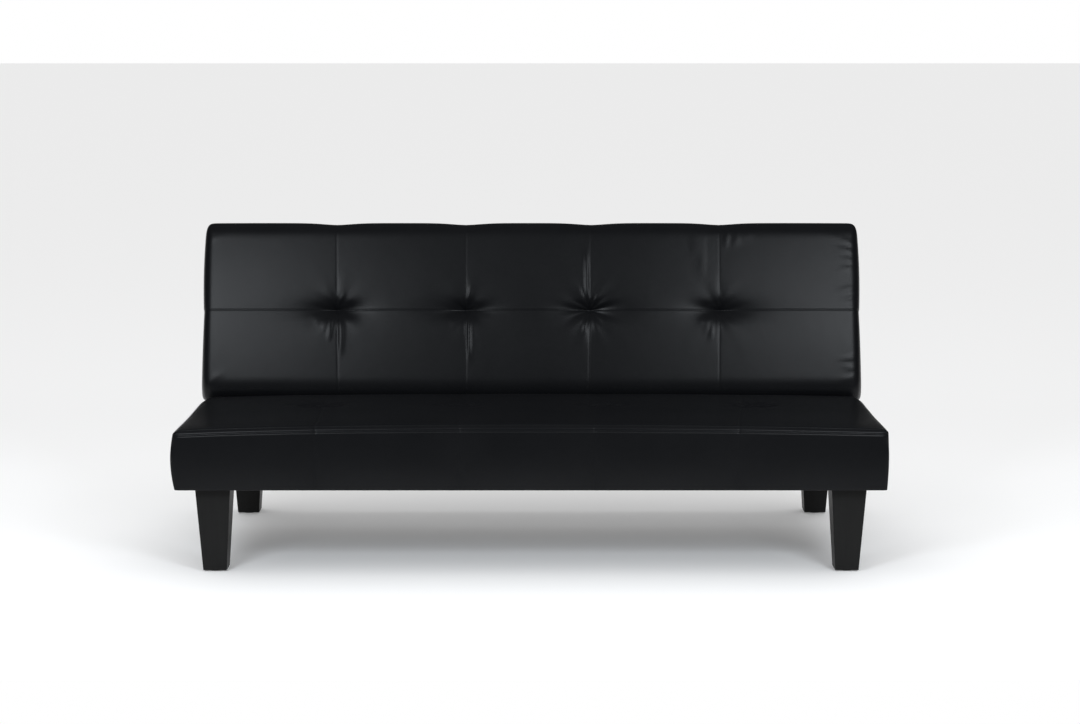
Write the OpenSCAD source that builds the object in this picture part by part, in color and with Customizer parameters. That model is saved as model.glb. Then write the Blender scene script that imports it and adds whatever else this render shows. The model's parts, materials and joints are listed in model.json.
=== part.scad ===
// Click-clack sofa bed, 1.68 m wide, with its back up. Millimetres, +Z up, front towards -Y.
// The origin is on the floor, in the middle of the space that the sofa takes up.

/* [Overall] */
// Width over the cushions
sofa_w = 1680; // [1500:10:1900]
// Length and width of the top of a leg
leg_top = 83; // [70:1:95]
// Length and width of the foot of a leg
leg_foot = 56; // [40:1:65]
// Height of the underside of the seat above the floor
seat_bottom = 207; // [180:1:240]

/* [Seat] */
// Height of the seat cushion's top above its underside
seat_h = 142; // [135:1:170]
// Depth of the seat cushion, front to rear
seat_d = 543; // [500:1:600]
// Radius of the seat's front top edge
seat_front_r = 20; // [15:1:40]

/* [Back] */
// Length of the back cushion, bottom edge to top edge
back_len = 466; // [420:1:520]
// Thickness of the back cushion
back_t = 110; // [105:1:130]
// Turn of the back from lying flat to sitting upright
upright = 75; // [70:1:78]

/* [Junction of the two cushions] */
// Gap between the cushions when the back lies flat
fold_gap = 14; // [12:1:20]
// Depth of the hinge axis below the seat's top
axis_drop = 30; // [28:1:34]
// Radius of the two top edges that meet over the hinge
fold_r = 40; // [38:1:42]

/* [Materials] */
// Thickness of the cover
skin = 2; // [1:0.5:2.5]
// Thickness of the boards that shape the seat's sides
board_t = 3; // [2:0.5:5]
// Thickness of the wooden rails
rail_t = 22; // [18:1:25]
// Thickness of the mechanism's steel plates
plate_t = 4; // [3:0.5:5]

/* [Hidden] */
$fn = 48;

half_w = sofa_w / 2;
seat_top = seat_bottom + seat_h;
wall = skin + board_t;                 // cover and the board behind it
low_r = 2.7;                           // radius of the cushions' lower edges
front_leg_y = 78;                      // leg centres, measured from the seat's front
rear_leg_y = 720;
leg_x = 755;
depth_all = rear_leg_y + leg_top / 2;  // the rear legs reach furthest back
slit = 0.4;                            // clearance between pieces that only touch

// The hinge axis runs along X, in the middle of the gap between the cushions.
axis_y = seat_d + fold_gap / 2;
axis_z = seat_top - axis_drop;

// Seat frame
frame_bottom = seat_bottom + 26;       // the rails stand on the beams
frame_top = seat_bottom + 78;
wire = 4;
foam_bottom = frame_top + wire + 3;
rail_x = 731;                          // inner face of the side rails
rail_out = rail_x + rail_t;
rear_rail_y = seat_d - skin - slit - rail_t - 4;
mech_lo = 745;                         // the slots for the mechanism, across the width
mech_hi = 772;
mech_front = 476;                      // and how far forward the seat's slot reaches

// Chassis
beam_w = 40;
beam_h = 26;
beam_wall = 2;
beam_y0 = 30;
beam_y1 = depth_all - 4;

// Mechanism, across the width
plate_x = rail_out;                    // hinge plate on the outer face of the side rail
arm_x = plate_x + plate_t + 1;         // back arm and pawl beside it, 1 mm apart
back_rail_x = arm_x - rail_t;          // inner face of the back's side rail
hub_r = 20;
ratchet_r = 42;
pin_r = 6;
pin_fit = 0.05;                        // running clearance of the pins, on the radius
pawl_y = axis_y - 62;
pawl_z = axis_z - 52;

// Panels: nominal width. The covers are cut by hand, so the tufts are not quite evenly spaced.
panel_w = sofa_w / 5;
back_tuft_x = [for (share = [-0.5976, -0.2024, 0.1798, 0.5774]) share * half_w];
seat_tuft_x = [for (share = [-0.6155, -0.2143, 0.1964, 0.6250]) share * half_w];
spring_x = [for (i = [-3.5 : 3.5]) i * panel_w / 2];
tuft_y = 345;                          // the row of tufts on the seat
tuft_u = 242;                          // and on the back, measured from the axis

// Back frame, in the back's own flat position: u from the axis, v up from the axis
back_u0 = fold_gap / 2;
back_u1 = back_u0 + back_len;
back_v1 = axis_drop;
back_v0 = back_v1 - back_t;
back_frame_v0 = back_v0 + 4;
back_frame_v1 = back_v0 + 56;
back_foam_v0 = back_frame_v1 + wire + 3;
back_rail_u0 = 42;
back_rail_u1 = back_u1 - 22;

// ---- shared shapes ----

// Everything is drawn from the seat's front edge, then moved so that the origin is in the middle.
module place() translate([0, -depth_all / 2, 0]) children();
module mirrored(side) mirror([side < 0 ? 1 : 0, 0, 0]) children();
module both_sides() for (s = [-1, 1]) mirrored(s) children();

// The back's pieces are drawn lying flat about the axis, then turned up.
module raised() place() translate([0, axis_y, axis_z]) rotate([upright, 0, 0]) children();

// A flat outline in (y, z) made into a plate that starts at x and is t thick.
module along_x(x, t) translate([x, 0, 0]) rotate([90, 0, 90]) linear_extrude(t) children();

function arc(c, r, a0, a1, n = 10) = [for (i = [0 : n]) c + r * [cos(a0 + (a1 - a0) * i / n),
    sin(a0 + (a1 - a0) * i / n)]];

// Rectangle with four corner radii: lower left, lower right, upper right, upper left.
function round_box(lo, hi, r) = concat(
    arc([lo[0] + r[0], lo[1] + r[0]], r[0], 180, 270),
    arc([hi[0] - r[1], lo[1] + r[1]], r[1], 270, 360),
    arc([hi[0] - r[2], hi[1] - r[2]], r[2], 0, 90),
    arc([lo[0] + r[3], hi[1] - r[3]], r[3], 90, 180));

// A cushion body: its side outline along X, cut by its front outline. inset shrinks both.
module seat_form(inset) intersection() {
    along_x(-half_w + inset, sofa_w - 2 * inset)
        polygon(round_box([inset, seat_bottom + inset], [seat_d - inset, seat_top - inset],
            [low_r - inset, low_r - inset, fold_r - inset, seat_front_r - inset]));
    rotate([90, 0, 0]) translate([0, 0, -seat_d]) linear_extrude(seat_d)
        polygon(round_box([-half_w + inset, seat_bottom + inset], [half_w - inset, seat_top - inset],
            [low_r - inset, low_r - inset, 22 - inset, 22 - inset]));
}

module back_form(inset) intersection() {
    along_x(-half_w + inset, sofa_w - 2 * inset)
        polygon(round_box([back_u0 + inset, back_v0 + inset], [back_u1 - inset, back_v1 - inset],
            [14, 22 - inset, 35 - inset, fold_r - inset]));
    translate([0, 0, back_v0]) linear_extrude(back_t)
        polygon(round_box([-half_w + inset, back_u0 + inset], [half_w - inset, back_u1 - inset],
            [8, 8, 12, 12]));
}

// Slots in the cushions for the mechanism, drawn from the seat's front.
module seat_slots() both_sides() translate([mech_lo, mech_front, foam_bottom - 80])
    cube([mech_hi - mech_lo, seat_d, seat_top - skin - foam_bottom + 80]);
// and in the back, drawn flat about the axis
module back_slots() both_sides() along_x(mech_lo, mech_hi - mech_lo) union() {
    circle(r = 25);
    translate([0, -64]) square([back_rail_u0, 64]);
}

// A zigzag spring of flat-sided wire, from y0 to y1, in the plane z.
zig_half = 24;
bend = 6;
function zig(n, pitch, side) = [for (k = [0 : n - 1])
    let (s = k % 2 == 0 ? 1 : -1, c = [s * (zig_half - pitch / 2), (k + 0.5) * pitch],
         r = pitch / 2 + side * s * wire / 2)
    for (i = [0 : bend]) c + r * [s * cos(-90 + 180 * i / bend), sin(-90 + 180 * i / bend)]];
function turned(p) = [for (i = [len(p) - 1 : -1 : 0]) p[i]];
module zigzag(x, y0, y1, z, n) {
    pitch = (y1 - y0) / n;
    translate([x, y0, z]) linear_extrude(wire)
        polygon(concat(zig(n, pitch, 1), turned(zig(n, pitch, -1))));
}

module hex_nut(r, t) cylinder(r = r, h = t, $fn = 6);

// ---- seat: body "base" ----

module seat_cover() color("#15171a") place() difference() {
    seat_form(0);
    seat_form(skin);
    // open underneath, inside a hem
    translate([-half_w + 24, 24, seat_bottom - 1]) cube([sofa_w - 48, seat_d - 48, 10]);
    seat_slots();
    both_sides() translate([rail_x + 1, seat_d - 40, seat_bottom - 1])
        cube([beam_w + 2, 60, beam_h + 4]);
}

module seat_foam() color("#d9d2bd") place() difference() {
    intersection() {
        seat_form(skin + slit);
        translate([-half_w, 0, foam_bottom]) cube([sofa_w, seat_d, seat_h]);
    }
    seat_slots();
    for (x = seat_tuft_x) translate([x, tuft_y, foam_bottom - 1]) cylinder(r = 4, h = seat_h);
}

module seat_dust_cover() color("#1b1b1b") place() difference() {
    translate([-half_w + 8, 8, seat_bottom - 1.4]) cube([sofa_w - 16, seat_d - 16, 1]);
    both_sides() translate([leg_x - leg_top / 2 - 4, front_leg_y - leg_top / 2 - 4, seat_bottom - 3])
        cube([leg_top + 8, leg_top + 8, 5]);
    both_sides() beam_bolt_places() translate([0, 0, seat_bottom - 3]) cylinder(r = 10, h = 5);
}

module seat_rail(x, y, z, size) color("#c9a36a") place() translate([x, y, z]) cube(size);
module seat_rail_front() seat_rail(-half_w + wall + slit, skin + slit, seat_bottom + skin + slit,
    [sofa_w - 2 * wall - 2 * slit, rail_t, frame_top - seat_bottom - skin - slit]);
module seat_rail_rear() seat_rail(-rail_x + slit, rear_rail_y, seat_bottom + skin + slit,
    [2 * rail_x - 2 * slit, rail_t, frame_top - seat_bottom - skin - slit]);
side_rail_y0 = skin + slit + rail_t + slit;
module seat_rail_side(side) color("#c9a36a") place() mirrored(side) difference() {
    translate([rail_x, side_rail_y0, frame_bottom])
        cube([rail_t, rear_rail_y + rail_t - side_rail_y0, frame_top - frame_bottom]);
    hinge_bolt_places() translate([0, 0, -rail_t - 1]) cylinder(r = 4.2, h = rail_t + 2);
}
module seat_rail_left() seat_rail_side(-1);
module seat_rail_right() seat_rail_side(1);

module seat_braces() color("#c9a36a") place() for (s = [-1, 1])
    translate([s * panel_w - 11, side_rail_y0, frame_bottom])
        cube([rail_t, rear_rail_y - slit - side_rail_y0, 40]);

module seat_side_board(side) color("#8a6a48") place() mirrored(side)
    translate([half_w - wall, skin + slit, seat_bottom + skin + slit])
        cube([board_t - slit, seat_d - 2 * skin - 2 * slit, foam_bottom - seat_bottom - skin - 2 * slit]);
module seat_side_board_left() seat_side_board(-1);
module seat_side_board_right() seat_side_board(1);

// Two blocks a side hold the side board off the rail, clear of the mechanism.
module seat_spacer_blocks() color("#b98f58") place() both_sides()
    for (y = [side_rail_y0 + 20, 355]) translate([rail_out + slit, y, frame_bottom + slit])
        cube([half_w - wall - rail_out - 2 * slit, 45, frame_top - frame_bottom - slit]);

module seat_springs() color("#8c8f94") place() for (x = spring_x)
    zigzag(x, side_rail_y0 + 2, rear_rail_y - 2, frame_top + 1, 15);

// A folded steel clip over each end of each spring
module spring_clip() translate([-9, -7, 0]) difference() {
    cube([18, 14, wire + 2]);
    translate([-1, 2, 0.8]) cube([20, 13, wire + 0.4]);
}
module seat_spring_clips() color("#9aa0a6") place() for (x = spring_x) {
    translate([x + 8, side_rail_y0 - 9, frame_top]) spring_clip();
    translate([x + 8, rear_rail_y + 9, frame_top]) rotate([0, 0, 180]) spring_clip();
}

// Twine through the foam at each tuft, held under the springs by a wooden toggle
module tuft_tie(z_top, z_low) {
    translate([0, 0, z_low]) cylinder(r = 1.5, h = z_top - z_low);
    translate([0, 0, z_low - 4]) cylinder(r = 13, h = 4);
}
module seat_tuft_ties() color("#b7a88a") place() for (x = seat_tuft_x)
    translate([x, tuft_y, 0]) tuft_tie(seat_top - skin - slit, frame_top - 8);

// ---- chassis: body "base" ----

module support_beam(side) color("#2c2e31") place() mirrored(side) difference() {
    translate([rail_x + 2, beam_y0, seat_bottom]) cube([beam_w, beam_y1 - beam_y0, beam_h - slit]);
    translate([rail_x + 2 + beam_wall, beam_y0 - 1, seat_bottom + beam_wall])
        cube([beam_w - 2 * beam_wall, beam_y1 - beam_y0 + 2, beam_h - slit - 2 * beam_wall]);
    for (y = [front_leg_y, rear_leg_y]) translate([leg_x, y, seat_bottom - 1])
        cylinder(r = 4.5, h = beam_wall + 2);
    beam_bolt_places() translate([0, 0, seat_bottom - 1]) cylinder(r = 4.2, h = beam_h + 2);
}
module support_beam_left() support_beam(-1);
module support_beam_right() support_beam(1);

module beam_bolt_places() for (y = [160, 470]) translate([rail_x + 12, y, 0]) children();
// Bolts from below through each beam into the seat's side rail
module beam_bolts() color("#b9bcc0") place() both_sides() beam_bolt_places() {
    translate([0, 0, seat_bottom - 4]) cylinder(r = 4, h = beam_h + 3);
    translate([0, 0, seat_bottom - 7.6]) cylinder(r = 8, h = 3.6);
}

module cross_tube(y) color("#2c2e31") place() difference() {
    translate([-rail_x - 2 + slit, y, seat_bottom + 2]) cube([2 * rail_x + 4 - 2 * slit, 30, 22]);
    translate([-rail_x - 3, y + beam_wall, seat_bottom + 2 + beam_wall])
        cube([2 * rail_x + 6, 30 - 2 * beam_wall, 22 - 2 * beam_wall]);
}
module cross_tube_front() cross_tube(front_leg_y - 15);
module cross_tube_rear() cross_tube(rear_leg_y - 15);

module beam_end_caps() color("#111111") place() both_sides() for (y = [beam_y0 - 3, beam_y1])
    translate([rail_x + 2, y, seat_bottom]) cube([beam_w, 3, beam_h - slit]);

// Rubber blocks on the beams, under the back when it lies flat
module back_bumpers() color("#1a1a1a") place() both_sides()
    translate([rail_x + 22, rear_leg_y - 10, seat_bottom + beam_h - slit]) cylinder(r = 13, h = 4);

foot_h = 3;
plate_h = 3;
leg_h = seat_bottom - plate_h - foot_h;
module leg(side, y) color("#17181a") place() mirrored(side) translate([leg_x, y, foot_h])
    difference() {
        translate([0, 0, leg_h]) mirror([0, 0, 1])
            linear_extrude(leg_h, scale = leg_foot / leg_top) square(leg_top, center = true);
        translate([0, 0, leg_h - 45]) cylinder(r = 4.1, h = 46);
    }
module leg_front_left() leg(-1, front_leg_y);
module leg_front_right() leg(1, front_leg_y);
module leg_rear_left() leg(-1, rear_leg_y);
module leg_rear_right() leg(1, rear_leg_y);

module leg_places() both_sides() for (y = [front_leg_y, rear_leg_y]) translate([leg_x, y, 0]) children();

module leg_plates() color("#8f9296") place() leg_places() difference() {
    translate([-36, -36, seat_bottom - plate_h]) cube([72, 72, plate_h - slit]);
    translate([0, 0, seat_bottom - plate_h - 1]) cylinder(r = 4.2, h = plate_h + 2);
    plate_screws_at() translate([0, 0, seat_bottom - plate_h - 1]) cylinder(r = 2.2, h = plate_h + 2);
}
// Two screws a plate reach the beam above it
module plate_screws_at() for (y = [-28, 28]) translate([0, y, 0]) children();
module leg_plate_screws() color("#b9bcc0") place() leg_places() plate_screws_at()
    translate([0, 0, seat_bottom - plate_h + 0.2]) cylinder(r = 2, h = plate_h - 0.4);

module leg_hanger_bolts() color("#b9bcc0") place() leg_places() {
    translate([0, 0, seat_bottom - 44]) cylinder(r = 4, h = 44 + beam_wall + 8);
    translate([0, 0, seat_bottom + beam_wall + slit]) hex_nut(8, 6);
}

module foot_glides() color("#0e0e0e") place() leg_places() cylinder(r = 20, h = foot_h);

// ---- mechanism ----

// In the (y, z) plane about the axis: where the hinge plate bolts on to the rail
bolt_spots = [[-118, -48], [-118, -72], [-97, -72]];
plate_foot = frame_bottom + 1 - axis_z;
module hinge_bolt_places() for (p = bolt_spots) translate([plate_x, axis_y + p[0], axis_z + p[1]])
    rotate([0, 90, 0]) children();

module hinge_plate(side) color("#7d8084") place() mirrored(side) difference() {
    along_x(plate_x + slit / 2, plate_t - slit / 2) translate([axis_y, axis_z])
        polygon(concat(arc([0, 0], hub_r, -70, 170, 16), [[-50, -36], [-130, -40],
            [-130, plate_foot], [0, plate_foot]]));
    translate([plate_x - 1, axis_y, axis_z]) rotate([0, 90, 0])
        cylinder(r = pin_r + pin_fit, h = plate_t + 2);
    translate([plate_x - 1, pawl_y, pawl_z]) rotate([0, 90, 0]) cylinder(r = 4.2, h = plate_t + 2);
    hinge_bolt_places() translate([0, 0, -1]) cylinder(r = 4.2, h = plate_t + 2);
}
module hinge_plate_left() hinge_plate(-1);
module hinge_plate_right() hinge_plate(1);

module hinge_plate_bolts() color("#b9bcc0") place() both_sides() hinge_bolt_places() {
    translate([0, 0, -rail_t - 1]) cylinder(r = 4, h = rail_t + plate_t + 1);
    translate([0, 0, plate_t + 0.1]) cylinder(r = 4, h = 5);
    translate([0, 0, plate_t + 0.1]) hex_nut(7.5, 5);
    translate([0, 0, -rail_t - 5]) cylinder(r = 8, h = 4.6);
}

module at_axis() place() both_sides() translate([plate_x, axis_y, axis_z]) rotate([0, 90, 0]) children();
module pivot_bolts() color("#c9ccd0") at_axis() {
    translate([0, 0, -1]) cylinder(r = pin_r, h = 2 * plate_t + 9);
    translate([0, 0, -5]) cylinder(r = 10, h = 4.5);
}
module pivot_nuts() color("#b9bcc0") at_axis() translate([0, 0, 2 * plate_t + 2]) difference() {
    hex_nut(11, 5);
    translate([0, 0, -1]) cylinder(r = pin_r + 0.02, h = 8);
}

// The back arm: a hub, the ratchet sector in front of it and a bar along the back's side rail.
// Its three notches are for sitting upright, for lounging and for lying flat.
pawl_dir = 235;
notch_at = [for (turn = [0, 40, upright]) pawl_dir - turn];
arm_bolt_u = [90, 150, 210];
arm_v = (back_frame_v0 + back_frame_v1) / 2;
module back_arm(side) color("#7d8084") raised() mirrored(side) difference() {
    along_x(arm_x, plate_t) polygon(concat(
        arc([0, 0], hub_r, 40, pawl_dir - upright - 10, 8),
        arc([0, 0], ratchet_r, pawl_dir - upright - 10, pawl_dir + 10, 24),
        [[30, arm_v - 8], [60, arm_v - 20], [226, arm_v - 18], [232, arm_v], [226, arm_v + 18],
         [44, arm_v + 18]]));
    for (a = notch_at) translate(concat([arm_x - 1], (ratchet_r + 1) * [cos(a), sin(a)]))
        rotate([0, 90, 0]) cylinder(r = 5.5, h = plate_t + 2);
    translate([arm_x - 1, 0, 0]) rotate([0, 90, 0]) cylinder(r = pin_r + pin_fit, h = plate_t + 2);
    arm_bolt_places() translate([0, 0, -1]) cylinder(r = 4.2, h = plate_t + 2);
}
module back_arm_left() back_arm(-1);
module back_arm_right() back_arm(1);
module arm_bolt_places() for (u = arm_bolt_u) translate([arm_x, u, arm_v]) rotate([0, 90, 0]) children();
module back_arm_bolts() color("#b9bcc0") raised() both_sides() arm_bolt_places() {
    translate([0, 0, -rail_t - 1]) cylinder(r = 4, h = rail_t + plate_t + 1);
    translate([0, 0, plate_t + 0.1]) cylinder(r = 4, h = 5);
    translate([0, 0, plate_t + 0.1]) hex_nut(7.5, 5);
    translate([0, 0, -rail_t - 5]) cylinder(r = 8, h = 4.6);
}

// The pawl stands just clear of the ratchet; its nose points at the sector.
pawl_gap = 0.8;
nose_r = 4;
pawl_root = [pawl_y - axis_y, pawl_z - axis_z];
pawl_tip = (ratchet_r + pawl_gap + nose_r) * [cos(pawl_dir), sin(pawl_dir)];
pawl_aim = atan2(pawl_tip[1] - pawl_root[1], pawl_tip[0] - pawl_root[0]);
module pawl(side) color("#8a8d91") place() mirrored(side) difference() {
    along_x(arm_x, plate_t) translate([axis_y, axis_z]) polygon(concat(
        arc(pawl_root, 11, pawl_aim + 50, 160, 5), [pawl_root + [-22, 0], pawl_root + [-22, -8]],
        arc(pawl_root, 11, 235, pawl_aim + 310, 5),
        arc(pawl_tip, nose_r, pawl_aim - 90, pawl_aim + 90, 8)));
    translate([arm_x - 1, pawl_y, pawl_z]) rotate([0, 90, 0]) cylinder(r = 4 + pin_fit, h = plate_t + 2);
}
module pawl_left() pawl(-1);
module pawl_right() pawl(1);

module at_pawl() place() both_sides() translate([plate_x, pawl_y, pawl_z]) rotate([0, 90, 0]) children();
module pawl_pins() color("#c9ccd0") at_pawl() {
    translate([0, 0, 0.5]) cylinder(r = 4, h = 2 * plate_t + 5);
    translate([0, 0, 2 * plate_t + 5.5]) cylinder(r = 7, h = 2);
}
// Three turns of a torsion spring round the pawl's pin
module pawl_springs() color("#9aa0a6") at_pawl() for (i = [0 : 2])
    translate([0, 0, 2 * plate_t + 2.1 + i * 1.1]) rotate_extrude() translate([5.2, 0]) circle(r = 0.5, $fn = 16);

// ---- back: body "back", drawn lying flat about the axis ----

module back_cover() color("#15171a") raised() difference() {
    back_form(0);
    back_form(skin);
    translate([-half_w + 26, back_u0 + 26, back_v0 - 1])
        cube([sofa_w - 52, back_len - 52, 8]);
    back_slots();
}

module back_foam() color("#d9d2bd") raised() difference() {
    intersection() {
        back_form(skin + slit);
        translate([-half_w, back_u0, back_foam_v0]) cube([sofa_w, back_len, back_t]);
    }
    back_slots();
    for (x = back_tuft_x) translate([x, tuft_u, back_foam_v0 - 1]) cylinder(r = 4, h = back_t);
}

module back_dust_cover() color("#1b1b1b") raised()
    translate([-half_w + 10, back_u0 + 10, back_v0 - 1.4]) cube([sofa_w - 20, back_len - 20, 1]);

module back_bar(x, u, size) color("#c9a36a") raised() translate([x, u, back_frame_v0]) cube(size);
back_frame_t = back_frame_v1 - back_frame_v0;
module back_rail_bottom() back_bar(-back_rail_x + slit, back_rail_u0,
    [2 * back_rail_x - 2 * slit, rail_t, back_frame_t]);
module back_rail_top() back_bar(-back_rail_x + slit, back_rail_u1 - rail_t,
    [2 * back_rail_x - 2 * slit, rail_t, back_frame_t]);
module back_rail_side(side) color("#c9a36a") raised() mirrored(side) difference() {
    translate([back_rail_x, back_rail_u0, back_frame_v0])
        cube([rail_t, back_rail_u1 - back_rail_u0, back_frame_t]);
    arm_bolt_places() translate([0, 0, -rail_t - 1]) cylinder(r = 4.2, h = rail_t + 2);
}
module back_rail_left() back_rail_side(-1);
module back_rail_right() back_rail_side(1);
module back_braces() for (s = [-1, 1]) back_bar(s * panel_w - 11, back_rail_u0 + rail_t + slit,
    [rail_t, back_rail_u1 - back_rail_u0 - 2 * rail_t - 2 * slit, 38]);

module back_springs() color("#8c8f94") raised() for (x = spring_x)
    zigzag(x, back_rail_u0 + rail_t + 2, back_rail_u1 - rail_t - 2, back_frame_v1 + 1, 11);
module back_spring_clips() color("#9aa0a6") raised() for (x = spring_x) {
    translate([x + 8, back_rail_u0 + rail_t - 9, back_frame_v1]) spring_clip();
    translate([x + 8, back_rail_u1 - rail_t + 9, back_frame_v1]) rotate([0, 0, 180]) spring_clip();
}
module back_tuft_ties() color("#b7a88a") raised() for (x = back_tuft_x)
    translate([x, tuft_u, 0]) tuft_tie(back_v1 - skin - slit, back_frame_v1 - 8);

seat_cover();
seat_foam();
seat_dust_cover();
seat_rail_front();
seat_rail_rear();
seat_rail_left();
seat_rail_right();
seat_braces();
seat_side_board_left();
seat_side_board_right();
seat_spacer_blocks();
seat_springs();
seat_spring_clips();
seat_tuft_ties();
support_beam_left();
support_beam_right();
cross_tube_front();
cross_tube_rear();
beam_end_caps();
beam_bolts();
back_bumpers();
leg_front_left();
leg_front_right();
leg_rear_left();
leg_rear_right();
leg_plates();
leg_plate_screws();
leg_hanger_bolts();
foot_glides();
hinge_plate_left();
hinge_plate_right();
hinge_plate_bolts();
pivot_bolts();
pivot_nuts();
pawl_pins();
pawl_springs();
pawl_left();
pawl_right();
back_cover();
back_foam();
back_dust_cover();
back_rail_bottom();
back_rail_top();
back_rail_left();
back_rail_right();
back_braces();
back_springs();
back_spring_clips();
back_tuft_ties();
back_arm_left();
back_arm_right();
back_arm_bolts();
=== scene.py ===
# %% [markdown]
# # A click-clack sofa bed in black faux leather
# This lesson dresses a finished CAD frame. The frame already holds every rail, bolt and hinge at
# its real size, in metres. What Blender adds is the look: stuffed and sewn cushions, twine, dust
# cloth, staples, stitches, and a finish for each material. The first cell loads the frame.

# %% Load the frame
import json
import math

import bmesh
import bpy
import numpy as np
from mathutils import Matrix, Vector


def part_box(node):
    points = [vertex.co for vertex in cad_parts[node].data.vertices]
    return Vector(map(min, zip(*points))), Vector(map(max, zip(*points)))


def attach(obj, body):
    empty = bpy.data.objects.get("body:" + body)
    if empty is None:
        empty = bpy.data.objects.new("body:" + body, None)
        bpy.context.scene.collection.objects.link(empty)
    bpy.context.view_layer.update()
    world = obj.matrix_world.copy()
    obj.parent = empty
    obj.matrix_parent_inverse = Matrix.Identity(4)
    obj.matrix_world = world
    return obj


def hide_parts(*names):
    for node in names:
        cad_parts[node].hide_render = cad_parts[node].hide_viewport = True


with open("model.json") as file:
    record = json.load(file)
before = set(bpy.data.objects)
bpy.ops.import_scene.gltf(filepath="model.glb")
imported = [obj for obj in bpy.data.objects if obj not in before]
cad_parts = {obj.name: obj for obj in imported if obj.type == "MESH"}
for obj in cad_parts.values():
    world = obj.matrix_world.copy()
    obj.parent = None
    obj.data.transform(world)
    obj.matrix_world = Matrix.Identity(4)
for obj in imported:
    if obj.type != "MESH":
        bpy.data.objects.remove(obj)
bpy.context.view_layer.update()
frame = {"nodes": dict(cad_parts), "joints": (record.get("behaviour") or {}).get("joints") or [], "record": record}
nodes = frame["nodes"]

# %% [markdown]
# ## Where things are
# The back turns about one long hinge axis. We read that axis and the turn to the flat bed from
# the frame, so that the back cushion can be made lying flat, where it is a simple slab, and then
# turned up into place. Along the slab u runs from the hinge to the top edge, and v is its
# thickness, with the sitter's side up.

# %% Measure the cushions
hinge = next(j for j in frame["joints"] if j["name"] == "back_recline")
hinge_point = Vector(hinge["pos_m"])
upright = math.radians(hinge["range_deg"][1])
turn_up = Matrix.Translation(hinge_point) @ Matrix.Rotation(upright, 4, "X")
lay_flat = turn_up.inverted()


def box_lying_flat(node):
    """Lowest and highest corner of a node of the back, turned down about the hinge."""
    spots = np.array([lay_flat @ v.co for v in nodes[node].data.vertices])
    return Vector(spots.min(0)), Vector(spots.max(0))


seat_low, seat_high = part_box("seat_cover")
back_low, back_high = box_lying_flat("back_cover")
half_width = seat_high.x
front_y = seat_low.y
print("seat cushion:", [round(v, 3) for v in seat_high - seat_low])
print("back cushion:", [round(v, 3) for v in back_high - back_low])

# %% [markdown]
# ## The camera
# A long lens a good way off keeps the sofa's lines nearly parallel, as furniture is usually
# shown. The camera is 1.3 m above the floor, two centimetres right of the middle, and looks
# slightly down.

# %% Camera
camera_data = bpy.data.cameras.new("camera")
camera_data.lens = 76.54
camera_data.sensor_width = 36.0
camera_data.sensor_fit = "HORIZONTAL"
camera_data.clip_end = 60.0
camera = bpy.data.objects.new("camera", camera_data)
bpy.context.scene.collection.objects.link(camera)
camera.location = (0.0194, front_y - 5.3, 1.3213)
camera.rotation_euler = (math.radians(90) - 0.1512, 0.0, -0.0004)
bpy.context.scene.camera = camera

# %% [markdown]
# ## Small helpers for modelling
# Blender's operators act on whatever is selected, and the frame's nodes arrive selected. So each
# helper first deselects everything, and then selects faces or edges in code by their place.

# %% Helpers: objects
AXES = {"x": 0, "y": 1, "z": 2}


def only(piece):
    """Make one object the selected and active one, in object mode."""
    if bpy.context.object and bpy.context.object.mode != "OBJECT":
        bpy.ops.object.mode_set(mode="OBJECT")
    bpy.ops.object.select_all(action="DESELECT")
    piece.select_set(True)
    bpy.context.view_layer.objects.active = piece


def new_block(name, low, high):
    """A box primitive between two corners, its size in its mesh."""
    bpy.ops.object.select_all(action="DESELECT")
    low, high = Vector(low), Vector(high)
    bpy.ops.mesh.primitive_cube_add(size=1, location=(low + high) / 2)
    piece = bpy.context.object
    piece.name = name
    piece.data.name = name
    piece.scale = high - low
    bpy.ops.object.transform_apply(location=True, rotation=True, scale=True)
    return piece


def cut_along(piece, axis, cuts):
    """Cut all edges that run along an axis into cuts + 1 lengths."""
    only(piece)
    bpy.ops.object.mode_set(mode="EDIT")
    bpy.ops.mesh.select_mode(type="EDGE")
    bpy.ops.mesh.select_all(action="DESELECT")
    mesh = bmesh.from_edit_mesh(piece.data)
    for edge in mesh.edges:
        run = edge.verts[1].co - edge.verts[0].co
        edge.select_set(abs(run[AXES[axis]]) > 0.99 * run.length)
    bmesh.update_edit_mesh(piece.data)
    bpy.ops.mesh.subdivide(number_cuts=cuts)
    bpy.ops.object.mode_set(mode="OBJECT")


def points_of(piece):
    """The vertices of a mesh as an array, one row each."""
    spots = np.zeros(len(piece.data.vertices) * 3)
    piece.data.vertices.foreach_get("co", spots)
    return spots.reshape(-1, 3)


def set_points(piece, spots):
    piece.data.vertices.foreach_set("co", np.ascontiguousarray(spots, float).ravel())
    piece.data.update()


def apply_modifiers(piece):
    only(piece)
    for modifier in list(piece.modifiers):
        bpy.ops.object.modifier_apply(modifier=modifier.name)


def add_modifier(piece, kind, **settings):
    modifier = piece.modifiers.new(kind.lower(), kind)
    for name, value in settings.items():
        setattr(modifier, name, value)
    return modifier


# %% [markdown]
# ## Small helpers for shader maths
# A material is a graph of nodes. Writing it as Python expressions keeps it readable: a Link wraps
# one socket, and adding or multiplying two Links adds the Math node that does it.

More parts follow.
